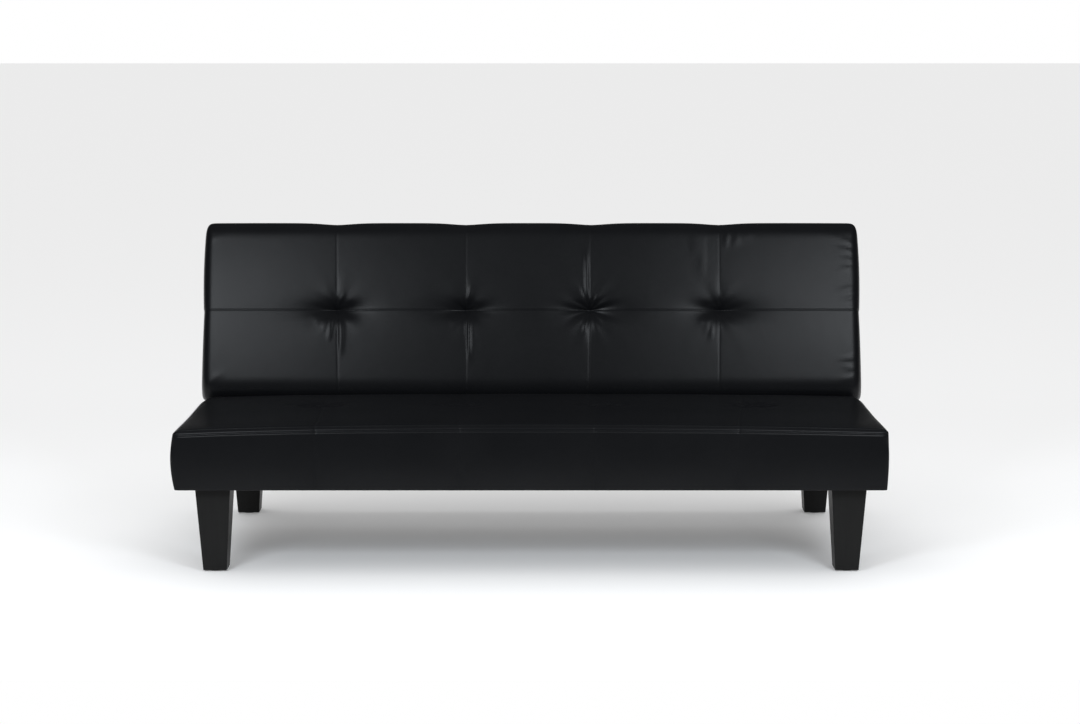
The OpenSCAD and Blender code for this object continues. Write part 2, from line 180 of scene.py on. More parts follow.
# %% Helpers: shader maths
class Link:
    """One output socket of a material, with arithmetic."""

    def __init__(self, tree, socket):
        self.tree, self.socket = tree, socket

    def node(self, kind, settings=None, **inputs):
        """Add a node of a type; its settings first, then the values or links of its sockets."""
        made = self.tree.nodes.new(kind)
        for name, value in (settings or {}).items():
            setattr(made, name, value)
        for name, value in inputs.items():
            plug(self.tree, find_input(made, name), value)
        return made

    def _maths(self, operation, *values):
        numbered = {f"_{i}": value for i, value in enumerate(values)}
        made = self.node("ShaderNodeMath", {"operation": operation}, **numbered)
        return Link(self.tree, made.outputs[0])

    def __add__(self, other):
        return self._maths("ADD", self, other)

    def __sub__(self, other):
        return self._maths("SUBTRACT", self, other)

    def __mul__(self, other):
        return self._maths("MULTIPLY", self, other)

    def __rsub__(self, other):
        return self._maths("SUBTRACT", other, self)

    __radd__ = __add__
    __rmul__ = __mul__

    def sine(self):
        return self._maths("SINE", self)

    def between(self, low, high):
        """0 below low, 1 above high, and smooth in between."""
        made = self.node("ShaderNodeMapRange", {"interpolation_type": "SMOOTHSTEP"}, Value=self,
                         From_Min=low, From_Max=high)
        return Link(self.tree, made.outputs["Result"])


def plug(tree, socket, value):
    if isinstance(value, Link):
        tree.links.new(value.socket, socket)
    else:
        socket.default_value = value


def find_input(made, name):
    """An input by its name, with _ for a space, or by its number as in _2."""
    if name[1:].isdigit():
        return made.inputs[int(name[1:])]
    return made.inputs[name.replace("_", " ")]


class Finish:
    """A material with one Principled shader, and the patterns that feed it."""

    def __init__(self, name, colour, roughness, metallic=0.0, specular=0.5):
        self.material = bpy.data.materials.new(name)
        self.material.use_nodes = True
        self.tree = self.material.node_tree
        self.shader = self.tree.nodes["Principled BSDF"]
        self.set("Base Color", (*colour, 1))
        self.set("Roughness", roughness)
        self.set("Metallic", metallic)
        self.set("Specular IOR Level", specular)
        place = self.tree.nodes.new("ShaderNodeTexCoord")
        self.place = Link(self.tree, place.outputs["Object"])

    def set(self, name, value):
        plug(self.tree, self.shader.inputs[name], value)

    def stretched(self, scale):
        """Object coordinates, scaled by a different amount along each axis."""
        made = self.place.node("ShaderNodeMapping", Vector=self.place, Scale=scale)
        return Link(self.tree, made.outputs[0])

    def noise(self, scale, detail=3.0, at=None, rough=0.5):
        made = self.place.node("ShaderNodeTexNoise", Vector=at or self.place, Scale=scale,
                               Detail=detail, Roughness=rough)
        return Link(self.tree, made.outputs["Fac"])

    def cells(self, scale, feature="DISTANCE_TO_EDGE"):
        made = self.place.node("ShaderNodeTexVoronoi", {"feature": feature}, Vector=self.place,
                               Scale=scale)
        return Link(self.tree, made.outputs["Distance"])

    def mix(self, amount, first, second):
        """A colour between two colours."""
        made = self.place.node("ShaderNodeMix", {"data_type": "RGBA"}, _0=amount, _6=(*first, 1),
                               _7=(*second, 1))
        return Link(self.tree, made.outputs[2])

    def bump(self, height, distance, strength=1.0, under=None):
        made = self.place.node("ShaderNodeBump", Height=height, Distance=distance,
                               Strength=strength)
        if under:
            plug(self.tree, made.inputs["Normal"], under)
        return Link(self.tree, made.outputs[0])


# %% [markdown]
# ## Finish: faux leather
# The cover is polyurethane on cloth. It is nearly black, with a fine pebbled grain about a
# millimetre across, pressed in by a roller, and a soft shine that varies a little where hands
# and cloth have rubbed it. The grain is a net of cells for the creases plus a finer noise, as
# bump, over a faint slow bump for the cloth below. The roughness gives the shine, and a slow
# noise makes it uneven.

# %% Faux leather
def faux_leather():
    made = Finish("faux_leather", (0.0062, 0.0066, 0.0074), 0.36, specular=0.14)
    grain = made.cells(820.0)
    fine = made.noise(2600.0, 2.0)
    slow = made.noise(7.0, 3.0)
    made.set("Base Color", made.mix(slow, (0.0048, 0.0051, 0.0059), (0.0069, 0.0072, 0.0081)))
    made.set("Roughness", 0.275 + slow * 0.05 + fine * 0.03)
    pebble = made.bump(grain.between(0.0, 0.22) + fine * 0.35, 0.00006, 0.30)
    made.set("Normal", made.bump(made.noise(16.0, 2.0), 0.0009, 0.25, under=pebble))
    return made.material


leather = faux_leather()

# %% [markdown]
# ## Finishes: everything else
# Each is a short recipe. Wood has its grain stretched along its length, sawn pine has growth
# rings too, and plated steel has a faint mottle.

# %% Painted, plated and moulded finishes
def black_wood():
    made = Finish("black_wood", (0.011, 0.011, 0.011), 0.45, specular=0.11)
    along = made.stretched((90.0, 90.0, 5.0))
    grain = made.noise(1.0, 4.0, at=along, rough=0.6)
    made.set("Base Color", made.mix(grain, (0.0085, 0.0085, 0.0085), (0.014, 0.0138, 0.0135)))
    made.set("Roughness", 0.36 + grain * 0.14)
    made.set("Normal", made.bump(grain, 0.0004, 0.35))
    return made.material


def sawn_wood(name, light, dark, rings):
    made = Finish(name, light, 0.75, specular=0.25)
    wave = made.noise(1.0, 3.0, at=made.stretched((2.0, 9.0, 26.0)))
    lines = (wave * rings).sine() * 0.5 + 0.5
    fibre = made.noise(1.0, 3.0, at=made.stretched((12.0, 300.0, 300.0)))
    made.set("Base Color", made.mix(lines * 0.7 + fibre * 0.3, light, dark))
    made.set("Roughness", 0.65 + fibre * 0.2)
    made.set("Normal", made.bump(fibre, 0.0003, 0.5))
    return made.material


def metal(name, colour, roughness, scale, metallic=1.0):
    made = Finish(name, colour, roughness, metallic)
    mottle = made.noise(scale, 4.0)
    darker = tuple(0.82 * c for c in colour)
    made.set("Base Color", made.mix(mottle, darker, colour))
    made.set("Roughness", roughness - 0.08 + mottle * 0.16)
    made.set("Normal", made.bump(made.noise(scale * 9, 2.0), 0.00004, 0.4))
    return made.material


def moulded(name, colour, roughness):
    made = Finish(name, colour, roughness, specular=0.4)
    dimple = made.noise(1500.0, 2.0)
    made.set("Roughness", roughness + made.noise(30.0, 2.0) * 0.12)
    made.set("Normal", made.bump(dimple, 0.00005, 0.5))
    return made.material


def cloth(name, colour, thread_mm):
    """Threads that cross, from two sine waves."""
    made = Finish(name, colour, 0.92, specular=0.2)
    turns = 2 * math.pi * 1000 / thread_mm
    split = made.place.node("ShaderNodeSeparateXYZ", Vector=made.place)
    across, along, up = (Link(made.tree, s) for s in split.outputs)
    weave = (across * turns).sine() * (along * turns + up * turns).sine()
    fuzz = made.noise(260.0, 4.0)
    light = tuple(1.5 * c for c in colour)
    made.set("Base Color", made.mix(weave * 0.3 + fuzz * 0.7, colour, light))
    made.set("Normal", made.bump(weave * 0.5 + fuzz, 0.0002, 0.6))
    return made.material


def open_foam():
    made = Finish("foam", (0.70, 0.62, 0.42), 0.95, specular=0.1)
    pores = made.cells(420.0, "F1")
    made.set("Base Color", made.mix(pores, (0.74, 0.66, 0.46), (0.55, 0.46, 0.28)))
    made.set("Normal", made.bump(pores, 0.0006, 0.8))
    return made.material


finishes = {
    "faux_leather": leather,
    "foam": open_foam(),
    "dust_cloth": cloth("dust_cloth", (0.012, 0.012, 0.013), 1.2),
    "twine": cloth("twine", (0.45, 0.38, 0.26), 0.8),
    "pine": sawn_wood("pine", (0.58, 0.40, 0.21), (0.42, 0.26, 0.12), 40.0),
    "fibreboard": sawn_wood("fibreboard", (0.30, 0.19, 0.10), (0.24, 0.15, 0.08), 8.0),
    "black_wood": black_wood(),
    "black_steel": metal("black_steel", (0.020, 0.020, 0.022), 0.42, 60.0, metallic=0.0),
    "spring_steel": metal("spring_steel", (0.34, 0.34, 0.35), 0.34, 220.0),
    "zinc_steel": metal("zinc_steel", (0.58, 0.58, 0.55), 0.36, 90.0),
    "black_plastic": moulded("black_plastic", (0.014, 0.014, 0.014), 0.5),
    "black_rubber": moulded("black_rubber", (0.016, 0.016, 0.016), 0.8),
}
for part in frame["record"]["subparts"]:
    mesh = nodes[part["node"]].data
    mesh.materials.clear()
    mesh.materials.append(finishes[part["material_slot"]])

# %% [markdown]
# ## A cushion's net of points
# A cushion starts as a box, cut into a fine net. The net is not even: lines crowd together at
# the seams, so that a seam can be sharp, and around the tufts, so that creases have points to
# bend at. We cut the box evenly with the subdivide operator and then slide the cuts along.

# %% Helpers: an uneven net
SAMPLES = 4000  # places at which the wanted density of lines is added up


def crowded(low, high, coarse, spots):
    """Places from low to high, coarse apart, and closer near spots of (place, reach, gap)."""
    fine = np.linspace(low, high, SAMPLES)
    density = np.full_like(fine, 1 / coarse)
    for place, reach, gap in spots:
        near = np.clip(1.5 - np.abs(fine - place) / reach, 0, 1)
        density = np.maximum(density, near * near * (3 - 2 * near) / gap)
    count = np.concatenate([[0], np.cumsum((density[1:] + density[:-1]) / 2 * np.diff(fine))])
    lines = int(round(count[-1]))
    places = np.interp(np.linspace(0, count[-1], lines + 1), count, fine)
    for place, _, gap in spots:
        if gap < coarse / 3:
            places[np.argmin(np.abs(places - place))] = place
    return places


def netted_block(name, low, high, lines):
    """A box cut at the given places along x, y and z."""
    piece = new_block(name, low, high)
    for axis, places in zip("xyz", lines):
        cut_along(piece, axis, len(places) - 2)
    spots = points_of(piece)
    for i, places in enumerate(lines):
        even = np.linspace(low[i], high[i], len(places))
        spots[:, i] = np.interp(spots[:, i], even, places)
    set_points(piece, spots)
    return piece


def rounded(spots, low, high, radius):
    """Pull a box's points on to a box with rounded edges; also gives each point's outward way."""
    low, high = np.array(low), np.array(high)
    core = np.clip(spots, low + radius, high - radius)
    way = spots - core
    length = np.linalg.norm(way, axis=1, keepdims=True)
    way = way / np.maximum(length, 1e-9)
    return core + way * radius, way


def hump(t):
    """0 at both ends of 0..1, 1 in the middle."""
    return np.clip(4 * t * (1 - t), 0, 1)


def ridge(distance, width):
    """1 on a line, and fading away from it like a bell."""
    return np.exp(-((distance / width) ** 2))


def ramp(value, low, high):
    """0 below low, 1 above high, and smooth in between."""
    t = np.clip((value - low) / (high - low), 0, 1)
    return t * t * (3 - 2 * t)


# %% [markdown]
# ## Seams and tufts
# The cover is five panels wide. The seamstress's hand shows: the panels differ by a centimetre
# or two, and the seams lean a little. A tuft is a loop of twine through the foam that pulls the
# cover down to nothing, with no button, where an upright seam meets the middle of the cushion.
# The frame's twine says where the tufts are.

# %% Seam and tuft places
def tie_places(spots):
    """The middle of each tie across the sofa, left to right, and along the cushion."""
    across = np.sort(spots[:, 0])
    groups = np.split(across, np.nonzero(np.diff(across) > 0.1)[0] + 1)
    return np.array([(g[0] + g[-1]) / 2 for g in groups]), (spots[:, 1].min() + spots[:, 1].max()) / 2


back_ties = np.array([lay_flat @ v.co for v in nodes["back_tuft_ties"].data.vertices])
seat_ties = np.array([tuple(v.co) for v in nodes["seat_tuft_ties"].data.vertices])
back_seams, tuft_u = tie_places(back_ties)
seat_tufts, tuft_y = tie_places(seat_ties)
back_lean = np.array([-0.004, -0.001, 0.004, 0.002])
seat_seams = np.array([-0.507, -0.169, 0.151, 0.489])
print("back tufts at", back_seams.round(3), "and", round(tuft_u, 3), "from the hinge")
print("seat tufts at", seat_tufts.round(3), "and", round(tuft_y - front_y, 3), "from the front")


def panel_share(x, seams):
    """How far across its panel each point is, from 0 to 1, and the distance to the next seam."""
    walls = np.concatenate([[-half_width], seams, [half_width]])
    i = np.clip(np.searchsorted(walls, x) - 1, 0, len(walls) - 2)
    share = (x - walls[i]) / (walls[i + 1] - walls[i])
    near = np.min(np.abs(x[:, None] - seams[None, :]), axis=1)
    return share, near


def lean_over(x, amount, seams, lean):
    """Slide points sideways so that the net's lines follow leaning seams."""
    drift = np.interp(x, np.concatenate([[-half_width], seams, [half_width]]),
                      np.concatenate([[0], lean, [0]]))
    return x + drift * amount


# %% [markdown]
# ## Stuffing the cushions
# Foam pushes the cover outwards, and it bulges between the places where it is held. Blender's
# cloth solver does this for us: inner pressure stands for the foam, a pin group holds the tufts
# and the hidden side firmly and the rest softly, and a little spare cloth lets creases form.
# Twenty frames are enough. The solver raises each hold to the fourth power, and points that
# crowd at the seams have less cover each, so a soft hold is multiplied by the fourth root of
# the point's share. Held harder, they would stand out as ridges. What the solver moved is then
# multiplied by a keep factor, which is full near the tufts and less on the flat panels, and
# points that still move further than a cap are held back.

# %% Helper: let a cover swell
def room_of(piece, coarse):
    """Each point's share of the surface, against that of a point in the coarse net."""
    room = np.zeros(len(piece.data.vertices))
    for face in piece.data.polygons:
        room[list(face.vertices)] += face.area / 4
    return np.minimum(room / coarse ** 2, 1)


FRAMES = 20
STIFFNESS = 20.0
DAMPING = 12.0


def swell(piece, hold, pressure, spare, cap, keep):
    """Run the cloth solver on a cover held by the weights in hold, and keep its shape."""
    only(piece)
    start = points_of(piece)
    group = piece.vertex_groups.new(name="held")
    for level in np.unique(np.round(hold, 2)):
        if level > 0:
            chosen = np.nonzero(np.round(hold, 2) == level)[0].tolist()
            group.add(chosen, float(level), "REPLACE")
    cloth_modifier = add_modifier(piece, "CLOTH")
    settings = cloth_modifier.settings
    settings.quality = 6
    settings.mass = 0.25
    settings.tension_stiffness = STIFFNESS
    settings.compression_stiffness = STIFFNESS
    settings.shear_stiffness = STIFFNESS / 2
    settings.bending_stiffness = 0.6
    settings.tension_damping = DAMPING
    settings.compression_damping = DAMPING
    settings.shear_damping = DAMPING
    settings.air_damping = 4.0
    settings.use_pressure = True
    settings.uniform_pressure_force = pressure
    settings.vertex_group_mass = "held"
    settings.pin_stiffness = 1.0
    settings.shrink_min = -spare
    settings.effector_weights.gravity = 0.0
    cloth_modifier.point_cache.frame_end = FRAMES
    scene = bpy.context.scene
    for step in range(1, FRAMES + 1):
        scene.frame_set(step)
    bpy.ops.object.modifier_apply(modifier="cloth")
    scene.frame_set(1)
    moved = (points_of(piece) - start) * keep[:, None]
    far = np.linalg.norm(moved, axis=1)
    moved *= np.minimum(1, cap / np.maximum(far, 1e-9))[:, None]
    set_points(piece, start + moved)
    piece.vertex_groups.clear()
    print(f"{piece.name}: the cover moved {1000 * far.mean():.1f} mm on average,",
          f"{1000 * far.max():.1f} mm at most")


# %% [markdown]
# ## Pressing in seams and creases
# After the swelling the net is made twice as fine by one subdivision, and the sewn lines and
# the small creases are pressed in along each point's own normal. Creases fan out from a tuft,
# and short ones pucker where the cover was pulled over a corner and stapled. Each crease in the
# lists is a soft little fold: its middle, its length and slant, its width and its height.

# %% Helpers: creases
SEAM_WIDTH = 0.0018


def smooth_once(piece):
    only(piece)
    add_modifier(piece, "SUBSURF", levels=1, render_levels=1)
    apply_modifiers(piece)
    bpy.ops.object.shade_smooth()


def normals_of(piece):
    ways = np.zeros(len(piece.data.vertices) * 3)
    piece.data.vertex_normals.foreach_get("vector", ways)
    return ways.reshape(-1, 3)


def folds(x, y, listed):
    """The height of short folds given as (x, y, length, slant in degrees, width, height) in mm."""
    total = np.zeros(len(x))
    for fx, fy, length, slant, width, height in listed:
        turn = math.radians(slant)
        along = (x * 1000 - fx) * math.cos(turn) + (y * 1000 - fy) * math.sin(turn)
        aside = (y * 1000 - fy) * math.cos(turn) - (x * 1000 - fx) * math.sin(turn)
        total += height / 1000 * ridge(aside, width) * np.exp(-((2 * along / length) ** 4))
    return total


def fan(x, y, middle, creases, phase, reach, height):
    """Creases that fan out from a tuft."""
    dx, dy = x - middle[0], y - middle[1]
    far = np.hypot(dx, dy)
    around = np.cos(creases * np.arctan2(dy, dx) + phase)
    share = far / (0.35 * reach)
    return height * around * share * np.exp(1 - share) * ramp(far, 0.004, 0.012)


def stuffed(piece, body, fill, *replaced):
    """Give a finished cushion its leather and foam, fix it to its body, hide the nodes it replaces."""
    piece.data.materials.clear()
    piece.data.materials.append(leather)
    piece.data.materials.append(finishes["foam"])
    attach(piece, body)
    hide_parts(*replaced)
    print(f"{piece.name}: {len(piece.data.polygons)} faces")


SLOT_X = (0.745, 0.772)  # a slot's inner and outer wall, either side of the middle


def cut_slots(piece, low, high):
    """Cut the two slots for the mechanism between two (y, z) corners; their walls show foam."""
    for side in (-1, 1):
        x_low, x_high = sorted(side * wall for wall in SLOT_X)
        cutter = new_block("slot_cutter", (x_low, *low), (x_high, *high))
        cutter.data.materials.append(leather)
        cutter.data.materials.append(finishes["foam"])
        for face in cutter.data.polygons:
            face.material_index = 1
        only(piece)
        add_modifier(piece, "BOOLEAN", operation="DIFFERENCE", object=cutter, solver="EXACT",
                     material_mode="INDEX")
        apply_modifiers(piece)
        bpy.data.objects.remove(cutter)


# %% [markdown]
# ## The back cushion
# The box is netted, rounded and given its crown and its tufts, all while it lies flat. Then the
# cover swells, the seams are drawn in, and the whole is turned up about the hinge.

# %% Back cushion: net and round shape
near_seams = [(s, 0.012, 0.0028) for s in back_seams] + [(s, 0.045, 0.006) for s in back_seams]
near_tufts = [(tuft_u, 0.010, 0.0028), (tuft_u, 0.035, 0.006)]
x_ends = [(end, 0.03, 0.008) for end in (back_low.x, back_high.x)]
u_ends = [(end, 0.03, 0.008) for end in (back_low.y, back_high.y)]
back_cushion = netted_block("back_cushion", back_low, back_high, (
    crowded(back_low.x, back_high.x, 0.014, near_seams + x_ends),
    crowded(back_low.y, back_high.y, 0.013, near_tufts + u_ends),
    crowded(back_low.z, back_high.z, 0.011, [])))
spots = points_of(back_cushion)
x, u, v = spots.T.copy()
front = ramp(v, back_high.z - 0.045, back_high.z - 0.015)
radius = np.repeat((0.018 + 0.014 * front)[:, None], 3, axis=1)
radius[:, 0] = 0.018
radius[:, 1:] += np.outer(front * (u < tuft_u), (0.020, 0.006))
spots, way = rounded(spots, back_low, back_high, radius)
print("back cushion:", len(spots), "points")

# %% [markdown]
# The crown is slight, because the foam is firm. The sides are nipped in at the middle seam,
# bulge a little above it and flare below it, and the top edge dips at each upright seam. A tuft
# is a dimple that is wider than it is high and comes to a rounded point.

# %% Back cushion: crown, sides and tufts
share, near = panel_share(x, back_seams)
upper_half = np.clip((u - tuft_u) / (back_high.y - tuft_u), 0, 1)
lower_half = np.clip((tuft_u - u) / (tuft_u - back_low.y), 0, 1)
rise = (u - back_low.y) / (back_high.y - back_low.y)
crown = 0.006 * hump(rise) + 0.0010 * hump(share)
spots += way * (crown * front)[:, None]
bulge = 0.008 * lower_half ** 0.8 + 0.003 * hump(upper_half) - 0.0015
spots[:, 0] += np.sign(x) * np.abs(way[:, 0]) * bulge
spots[:, 1] += np.clip(way[:, 1], 0, 1) * (0.0015 - 0.0045 * ridge(near, 0.05))
TUFT_WIDE, TUFT_HIGH, TUFT_DEEP = 0.054, 0.019, 0.021
for seam in back_seams:
    across, along = (x - seam) / TUFT_WIDE, (u - tuft_u) / TUFT_HIGH
    spots[:, 2] -= TUFT_DEEP * np.exp(-1.25 * np.sqrt(across ** 2 + along ** 2 + 0.01)) * front
set_points(back_cushion, spots)

# %% Back cushion: swell
held = 0.25 * room_of(back_cushion, 0.0135) ** 0.25
held = np.where(front < 0.5, 1.0, held)
near_tuft = np.min([np.hypot(x - seam, u - tuft_u) for seam in back_seams], axis=0)
held = np.where((near_tuft < 0.008) & (front > 0.5), 1.0, held)
swell(back_cushion, held, 0.6, 0.001, 0.020, ridge(near_tuft, 0.060))

# %% [markdown]
# Each tuft has its own fan of creases: the third is the strongest, and the first has three
# short upright ones below and to its left. The right edge is puckered where the cover was pulled
# over the board's corner.

# %% Back cushion: seams and creases
back_folds = [
    (-547, 214, 30, 70, 4, 1.2), (-534, 206, 34, 78, 4, 1.4), (-520, 196, 56, 84, 4.5, 1.6),
    (-560, 222, 22, 62, 4, 0.8), (-492, 180, 95, 89, 6, 1.6), (-489, 272, 30, 60, 4, 1.0),
    (-161, 178, 110, 90, 5, 2.4), (-192, 214, 30, 70, 3.5, 1.2), (-203, 205, 30, 76, 3.5, 0.9),
    (-160, 285, 34, 75, 4, 1.0), (-182, 222, 20, 60, 3, 1.0),
    (141, 330, 110, 92, 5, 2.2), (139, 205, 34, 80, 4, 2.0), (128, 285, 34, 120, 3.5, 1.4),
    (120, 268, 26, 150, 3.5, 1.2), (122, 224, 26, 40, 3.5, 1.2), (160, 282, 28, 65, 3.5, 1.0),
    (165, 270, 26, 50, 3.5, 0.9), (131, 212, 30, 62, 3.5, 1.0),
    (455, 205, 44, 80, 4, 1.3), (466, 196, 54, 84, 4, 1.3), (444, 216, 28, 66, 4, 1.0),
    (505, 440, 60, 84, 7, 1.0), (530, 436, 50, 80, 7, 1.1), (556, 440, 40, 76, 7, 0.8),
    (424, 425, 80, 92, 6, 0.9), (440, 395, 120, 90, 6, 0.8),
    (815, 418, 34, 155, 4, 1.3), (812, 396, 40, 158, 4, 1.5), (816, 372, 30, 165, 4, 1.2),
    (813, 350, 36, 10, 4, 1.0), (809, 296, 44, 15, 4.5, 1.1), (815, 272, 30, 12, 4, 0.9),
    (812, 118, 40, 8, 4.5, 1.3), (816, 92, 32, 165, 4, 1.2), (810, 66, 40, 15, 4.5, 1.2),
    (792, 430, 40, 145, 6, 0.9), (-815, 60, 60, 40, 7, 1.0), (-812, 430, 30, 20, 5, 0.6)]
smooth_once(back_cushion)
spots, ways = points_of(back_cushion), normals_of(back_cushion)
x, u, v = spots.T
facing = np.clip(ways[:, 2], 0, 1)
_, near = panel_share(x, back_seams)
relief = folds(x, u, back_folds) * facing
for seam, creases, phase, height in zip(back_seams, (9, 8, 11, 9), (0.4, 1.9, 0.8, 2.6),
                                        (0.0004, 0.0004, 0.0010, 0.0004)):
    relief += fan(x, u, (seam, tuft_u), creases, phase, 0.060, height) * facing
sewn = np.where(u > tuft_u, 0.0003, 0.0005) * ridge(near, SEAM_WIDTH) * (ways[:, 2] > -0.3)
sewn += 0.0006 * ridge(u - tuft_u, SEAM_WIDTH) * (v > back_low.z + 0.02)
spots += ways * (relief - sewn)[:, None]
spots[:, 0] = lean_over(spots[:, 0], (u - tuft_u) / 0.23, back_seams, back_lean)
spots[:, 0] += np.sign(x) * 0.008 * ramp(np.abs(x), 0.55, 0.81)
set_points(back_cushion, spots)

# %% [markdown]
# The mechanism's arms leave the cushion through two slots at its lower corners. We cut them
# with a box as cutter, whose second finish is foam, so that foam shows in the cut.

# %% Back cushion: slots, and turned up into place
cut_slots(back_cushion, (-0.03, back_low.z - 0.01), (0.042, 0.013))
back_cushion.data.transform(turn_up)
stuffed(back_cushion, "back", 0.85, "back_cover", "back_foam")

# %% [markdown]
# ## The seat cushion
# The seat is firmer. Its top is gently crowned, its front edge is a sewn corner that catches
# the light, and the front band is smooth. The tufts are shallow. Level with the frame's boards
# and below, the cover is drawn tight with hardly any rounding, so that it hides them.

# %% Seat cushion: net and round shape
near_seams = [(s, 0.012, 0.0028) for s in seat_seams]
near_tufts = [(s, 0.030, 0.004) for s in seat_tufts] + [(s, 0.060, 0.008) for s in seat_tufts]
x_ends = [(end, 0.03, 0.006) for end in (seat_low.x, seat_high.x)]
y_spots = [(tuft_y, 0.025, 0.003), (tuft_y, 0.05, 0.007), (seat_low.y, 0.03, 0.004),
           (seat_high.y, 0.04, 0.008)]
z_spots = [(seat_low.z, 0.008, 0.002), (seat_high.z, 0.04, 0.004),
           (seat_high.z - 0.011, 0.010, 0.002)]
seat_cushion = netted_block("seat_cushion", seat_low, seat_high, (
    crowded(seat_low.x, seat_high.x, 0.015, near_seams + near_tufts + x_ends),
    crowded(seat_low.y, seat_high.y, 0.015, y_spots),
    crowded(seat_low.z, seat_high.z, 0.013, z_spots)))
spots = points_of(seat_cushion)
x, y, z = spots.T.copy()
rear = ramp(y, seat_high.y - 0.09, seat_high.y - 0.04)
upper = ramp(z, seat_low.z + 0.086, seat_low.z + 0.106)
radius = np.repeat((0.0015 + 0.0075 * upper + 0.024 * upper * rear)[:, None], 3, axis=1)
radius[:, 0] = 0.0015 + 0.0145 * upper
radius[:, 1] += 0.012 * upper * rear
spots, way = rounded(spots, seat_low, seat_high, radius)
print("seat cushion:", len(spots), "points")

# %% Seat cushion: crown, sides and tufts
share, near = panel_share(x, seat_seams)
depth = (y - seat_low.y) / (seat_high.y - seat_low.y)
height = (z - seat_low.z) / (seat_high.z - seat_low.z)
across = x / half_width
top = np.clip(way[:, 2], 0, 1)
crown = 0.0012 * hump(share) * hump(depth) ** 0.5 + 0.006 * (1 - across ** 2)
crown -= 0.004 * np.clip(-across, 0, 1) ** 6 + 0.001 * np.clip(across, 0, 1) ** 6
crown += (0.005 + 0.004 * (1 - across ** 2)) * (1 - ramp(depth, 0.0, 0.5))
spots[:, 2] += crown * ramp(height, 0.5, 0.95)
spots[:, 0] += np.sign(x) * np.abs(way[:, 0]) * np.where(x < 0, 0.009, 0.003) * hump(height)
spots[:, 1] -= np.clip(-way[:, 1], 0, 1) * 0.003 * hump(height) * hump(share) ** 0.3
spots[:, 1] -= 0.005 * np.clip(way[:, 1], 0, 1) * upper
lip = np.clip(z - (seat_high.z - 0.016), 0, 0.016) * np.clip(-way[:, 1], 0, 1)
spots[:, 1] += 0.40 * lip
TUFT_WIDE, TUFT_LONG, TUFT_DEEP = 0.034, 0.018, 0.013
for tuft in seat_tufts:
    aside, along = (x - tuft) / TUFT_WIDE, (y - tuft_y) / TUFT_LONG
    spots[:, 2] -= TUFT_DEEP * np.exp(-1.3 * np.sqrt(aside ** 2 + along ** 2 + 0.02)) * upper
set_points(seat_cushion, spots)

# %% Seat cushion: swell
held = np.where(height < 0.65, 1.0, 0.26 * room_of(seat_cushion, 0.015) ** 0.25)
held = np.maximum(held, 0.8 * np.clip(-way[:, 1], 0, 1))
near_tuft = np.min([np.hypot(x - tuft, y - tuft_y) for tuft in seat_tufts], axis=0)
held = np.where(near_tuft < 0.009, 1.0, held)
swell(seat_cushion, held, 1.0, 0.001, 0.012, 0.3 + 0.7 * ridge(near_tuft, 0.060))

# %% [markdown]
# The seat's seams lean outwards towards the tufts. Along the front a seam joins the top to the
# band, with a row of stitches just under it that draws the leather in slightly.

# %% Seat cushion: seams and creases
edge_seam_z = seat_high.z - 0.012


def edge_lift(across):
    """How much the front seam is lifted by the seat's crown, across the half width."""
    return 0.005 + 0.010 * (1 - across ** 2) - 0.004 * np.clip(-across, 0, 1) ** 6


seat_folds = [(1000 * s + 34 * side, 1000 * tuft_y - 10, 52, 22 * side, 3.4, 4.6)
              for s in seat_tufts for side in (-1, 1)]
seat_folds += [(1000 * s + 24 * side, 1000 * tuft_y - 27, 32, -20 * side, 3.2, 2.6)
               for s in seat_tufts for side in (-1, 1)]
seat_folds += [(1000 * s + 5, 1000 * (front_y + 0.05), 70, 90, 4, 0.8) for s in seat_seams]
seat_folds += [(1000 * s - 6, 1000 * (front_y + 0.04), 50, 90, 4, 0.7) for s in seat_seams]
smooth_once(seat_cushion)
spots, ways = points_of(seat_cushion), normals_of(seat_cushion)
x, y, z = spots.T
facing = np.clip(ways[:, 2], 0, 1)
face = np.clip(-ways[:, 1], 0, 1)
_, near = panel_share(x, seat_seams)
relief = folds(x, y, seat_folds) * facing
for tuft, creases, phase in zip(seat_tufts, (7, 9, 8, 9), (0.9, 0.2, 2.2, 1.5)):
    relief += fan(x, y, (tuft, tuft_y), creases, phase, 0.055, 0.0009) * facing
sewn = 0.0007 * ridge(near, 0.0020) * (facing > 0.2)
over_seam = z - (edge_seam_z + edge_lift(x / half_width))
sewn += 0.0012 * ridge(over_seam, SEAM_WIDTH) * (face > 0.2)
spots += ways * (relief - sewn)[:, None]
lean = (y - seat_low.y) / (tuft_y - seat_low.y) * ramp(z, seat_high.z - 0.03, seat_high.z - 0.01)
spots[:, 0] = lean_over(spots[:, 0], np.clip(lean, 0, 1.3), seat_seams, seat_tufts - seat_seams)
set_points(seat_cushion, spots)
cut_slots(seat_cushion, (front_y + 0.476, seat_low.z - 0.01),
          (seat_high.y + 0.05, seat_high.z - 0.006))
stuffed(seat_cushion, "base", 0.9, "seat_cover", "seat_foam")

# %% [markdown]
# ## Twine ties
# Under each tuft a loop of two-ply twine goes down through the foam to a toggle below the
# springs. Two thin rods are twisted round each other with the Simple Deform modifier, as by
# hand, and a flat washer with a rounded rim stands for the toggle. One tie is modelled, and the
# others are copies of it, each ending under its own tuft.

# %% Twine ties
def new_rod(name, place, radius, length, sides=10):
    """A cylinder primitive standing on end."""
    bpy.ops.object.select_all(action="DESELECT")
    bpy.ops.mesh.primitive_cylinder_add(radius=radius, depth=length, vertices=sides, location=place)
    rod = bpy.context.object
    rod.name = name
    bpy.ops.object.transform_apply(location=True)
    return rod


